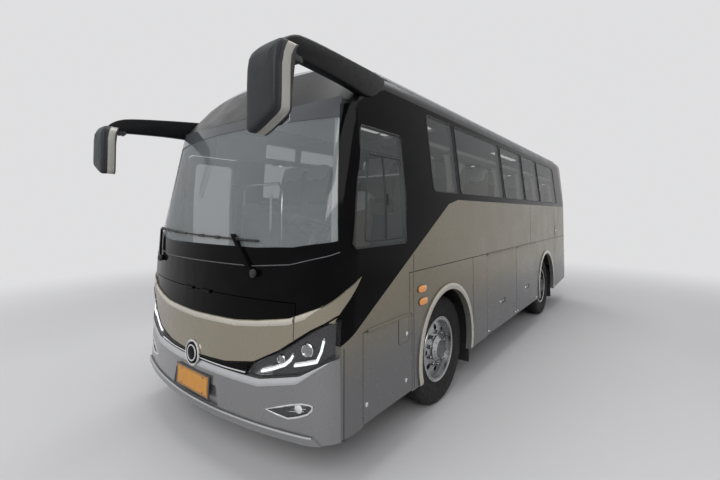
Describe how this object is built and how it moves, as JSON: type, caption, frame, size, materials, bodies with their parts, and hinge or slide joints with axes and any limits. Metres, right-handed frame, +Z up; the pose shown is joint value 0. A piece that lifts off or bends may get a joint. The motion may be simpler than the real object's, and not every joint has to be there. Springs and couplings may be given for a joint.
{
  "type": "minibus",
  "caption": "Midi-size touring coach with hollow saloon, luggage bays, opening hatches, swing-out passenger door and steered front wheels.",
  "frame": {"origin": "on the ground under the middle of the overall box", "axes": "+X towards the front, +Y to the driver's left, +Z up"},
  "size_m": [8.057, 2.73, 3.22],
  "materials": {
    "champagne_paint": "metallic gloss",
    "silver_paint": "metallic gloss",
    "black_gloss": "gloss",
    "tinted_glass": "polished",
    "clear_glass": "polished",
    "lamp_lens": "polished",
    "tail_lens": "gloss",
    "mirror_shell": "satin",
    "black_metal": "satin",
    "floor_sheet": "matte",
    "alloy": "polished",
    "tyre_rubber": "matte",
    "engine_metal": "matte",
    "cabin_plastic": "matte",
    "seat_cloth": "matte",
    "pod_shell": "gloss"
  },
  "bodies": {
    "body": {"chassis_frame": "black_metal", "floor": "floor_sheet", "side_wall_left": "champagne_paint", "side_wall_right": "champagne_paint", "window_frame_left": "black_gloss", "window_frame_right": "black_gloss", "roof": "silver_paint", "front_panel": "black_gloss", "band_wings": "champagne_paint", "front_bumper": "silver_paint", "windshield": "clear_glass", "side_glass_left": "tinted_glass", "side_glass_right": "tinted_glass", "rear_panel": "champagne_paint", "rear_glass": "tinted_glass", "rear_bumper": "silver_paint", "tail_lamps": "tail_lens", "front_lamps": "lamp_lens", "mirror_left": "mirror_shell", "mirror_right": "mirror_shell", "wipers": "black_gloss", "ac_unit": "pod_shell", "front_axle": "black_metal", "rear_axle": "black_metal", "engine_block": "engine_metal", "dashboard": "cabin_plastic", "driver_seat": "cabin_plastic", "seats": "seat_cloth", "racks": "cabin_plastic"},
    "knuckle_left": {"knuckle_left": "black_metal"},
    "knuckle_right": {"knuckle_right": "black_metal"},
    "wheel_front_left_body": {"wheel_front_left": "alloy", "tyre_front_left": "tyre_rubber"},
    "wheel_front_right_body": {"wheel_front_right": "alloy", "tyre_front_right": "tyre_rubber"},
    "wheel_rear_left_body": {"wheel_rear_left": "alloy", "tyre_rear_left": "tyre_rubber"},
    "wheel_rear_right_body": {"wheel_rear_right": "alloy", "tyre_rear_right": "tyre_rubber"},
    "luggage_door_left_1_body": {"luggage_door_left_1": "champagne_paint"},
    "luggage_door_left_2_body": {"luggage_door_left_2": "champagne_paint"},
    "luggage_door_right_1_body": {"luggage_door_right_1": "champagne_paint"},
    "luggage_door_right_2_body": {"luggage_door_right_2": "champagne_paint"},
    "service_hatch_body": {"service_hatch": "champagne_paint"},
    "engine_hatch_body": {"engine_hatch": "champagne_paint"},
    "front_flap_body": {"front_flap": "champagne_paint", "front_band": "champagne_paint"},
    "door_arm_body": {"door_arm": "black_metal"},
    "door_leaf_body": {"door_leaf": "champagne_paint", "door_glass": "tinted_glass"}
  },
  "joints": [
    {"name": "steer_left", "type": "hinge", "parent": "body", "child": "knuckle_left", "pos_m": [1.83, 0.93, 0.5], "axis": [0, 0, 1], "range_deg": [-38, 38]},
    {"name": "steer_right", "type": "hinge", "parent": "body", "child": "knuckle_right", "pos_m": [1.83, -0.93, 0.5], "axis": [0, 0, 1], "range_deg": [-38, 38]},
    {"name": "spin_front_left", "type": "hinge", "parent": "knuckle_left", "child": "wheel_front_left_body", "pos_m": [1.83, 1.017, 0.5], "axis": [0, 1, 0], "continuous": true},
    {"name": "spin_front_right", "type": "hinge", "parent": "knuckle_right", "child": "wheel_front_right_body", "pos_m": [1.83, -1.017, 0.5], "axis": [0, 1, 0], "continuous": true},
    {"name": "spin_rear_left", "type": "hinge", "parent": "body", "child": "wheel_rear_left_body", "pos_m": [-2.17, 0.9, 0.5], "axis": [0, 1, 0], "continuous": true},
    {"name": "spin_rear_right", "type": "hinge", "parent": "body", "child": "wheel_rear_right_body", "pos_m": [-2.17, -0.9, 0.5], "axis": [0, 1, 0], "continuous": true},
    {"name": "luggage_left_1", "type": "hinge", "parent": "body", "child": "luggage_door_left_1_body", "pos_m": [0.2575, 1.246, 1.314], "axis": [1, 0, 0], "range_deg": [0, 80]},
    {"name": "luggage_right_1", "type": "hinge", "parent": "body", "child": "luggage_door_right_1_body", "pos_m": [0.2575, -1.246, 1.314], "axis": [-1, 0, 0], "range_deg": [0, 80]},
    {"name": "luggage_left_2", "type": "hinge", "parent": "body", "child": "luggage_door_left_2_body", "pos_m": [-0.9075, 1.246, 1.314], "axis": [1, 0, 0], "range_deg": [0, 80]},
    {"name": "luggage_right_2", "type": "hinge", "parent": "body", "child": "luggage_door_right_2_body", "pos_m": [-0.9075, -1.246, 1.314], "axis": [-1, 0, 0], "range_deg": [0, 80]},
    {"name": "service_hatch_hinge", "type": "hinge", "parent": "body", "child": "service_hatch_body", "pos_m": [2.85, 1.246, 1.002], "axis": [1, 0, 0], "range_deg": [0, 80]},
    {"name": "engine_hatch_hinge", "type": "hinge", "parent": "body", "child": "engine_hatch_body", "pos_m": [-4.026, 0, 1.292], "axis": [0, 1, 0], "range_deg": [0, 75]},
    {"name": "front_flap_hinge", "type": "hinge", "parent": "body", "child": "front_flap_body", "pos_m": [3.6424, 0, 1.217], "axis": [0, -1, 0], "range_deg": [0, 70]},
    {"name": "door_post", "type": "hinge", "parent": "body", "child": "door_arm_body", "pos_m": [2.543, -1.148, 1], "axis": [0, 0, -1], "range_deg": [0, 135]},
    {"name": "door_swivel", "type": "hinge", "parent": "door_arm_body", "child": "door_leaf_body", "pos_m": [2.903, -1.148, 1], "axis": [0, 0, -1], "range_deg": [-135, 0]}
  ],
  "couplings": [
    {"joint": "steer_right", "follows": "steer_left", "ratio": 1},
    {"joint": "door_swivel", "follows": "door_post", "ratio": -1}
  ]
}
